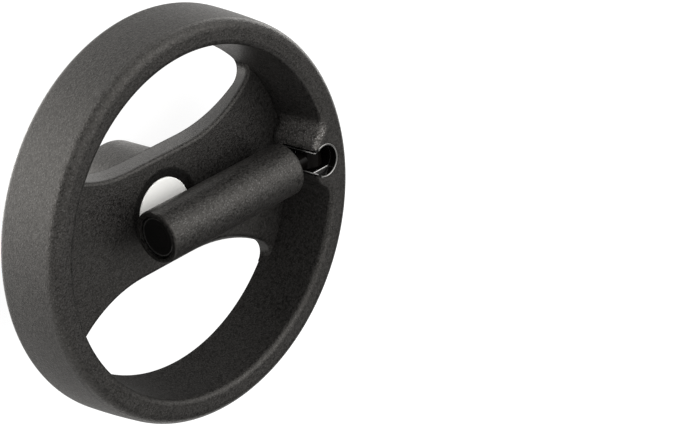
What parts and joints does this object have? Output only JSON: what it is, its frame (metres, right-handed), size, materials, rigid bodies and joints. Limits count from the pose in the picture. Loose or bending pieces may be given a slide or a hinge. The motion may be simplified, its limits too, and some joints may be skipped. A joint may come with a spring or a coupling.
{
  "type": "machine handwheel with fold-away handle",
  "caption": "Round two-spoke machine handwheel in black plastic with a keyed steel hub bore, a push-in hub cap and a revolving grip that folds flat into the dish of the wheel.",
  "frame": {"origin": "on the wheel axis, at the rear face of the hub", "axes": "+Z along the wheel axis out of the front face, +X along the spoke towards the hinge of the handle"},
  "size_m": [0.1499, 0.1499, 0.0521],
  "materials": {
    "wheel_plastic": "matte black moulding with a fine grain",
    "grip_plastic": "matte black moulding with a fine grain",
    "cap_plastic": "smooth light grey satin",
    "end_cap_plastic": "smooth black",
    "cup_gloss": "gloss black",
    "spindle_black": "blackened steel, polished",
    "washer_steel": "turned steel",
    "bush_steel": "blackened turned steel",
    "plain_steel": "plain steel"
  },
  "bodies": {
    "wheel": {"wheel_body": "wheel_plastic", "hub_bush": "bush_steel", "hub_cap": "cap_plastic", "pivot_housing": "cup_gloss", "pivot_pin": "plain_steel", "detent_spring": "plain_steel"},
    "handle": {"spindle": "spindle_black", "thrust_washer": "washer_steel", "retaining_ring": "plain_steel"},
    "grip": {"grip_sleeve": "grip_plastic", "grip_end_cap": "end_cap_plastic"},
    "plunger": {"detent_plunger": "plain_steel"}
  },
  "joints": [
    {"name": "handle_fold", "type": "hinge", "parent": "wheel", "child": "handle", "pos_m": [0.0613, 0, 0.0422], "axis": [0, 1, 0], "range_deg": [0, 90]},
    {"name": "grip_spin", "type": "hinge", "parent": "handle", "child": "grip", "pos_m": [0.0613, 0, 0.0422], "axis": [1, 0, 0], "continuous": true},
    {"name": "plunger_rise", "type": "slide", "parent": "wheel", "child": "plunger", "axis": [0, 0, 1], "range_m": [0, 0.0006], "deforming": ["detent_spring"]}
  ]
}
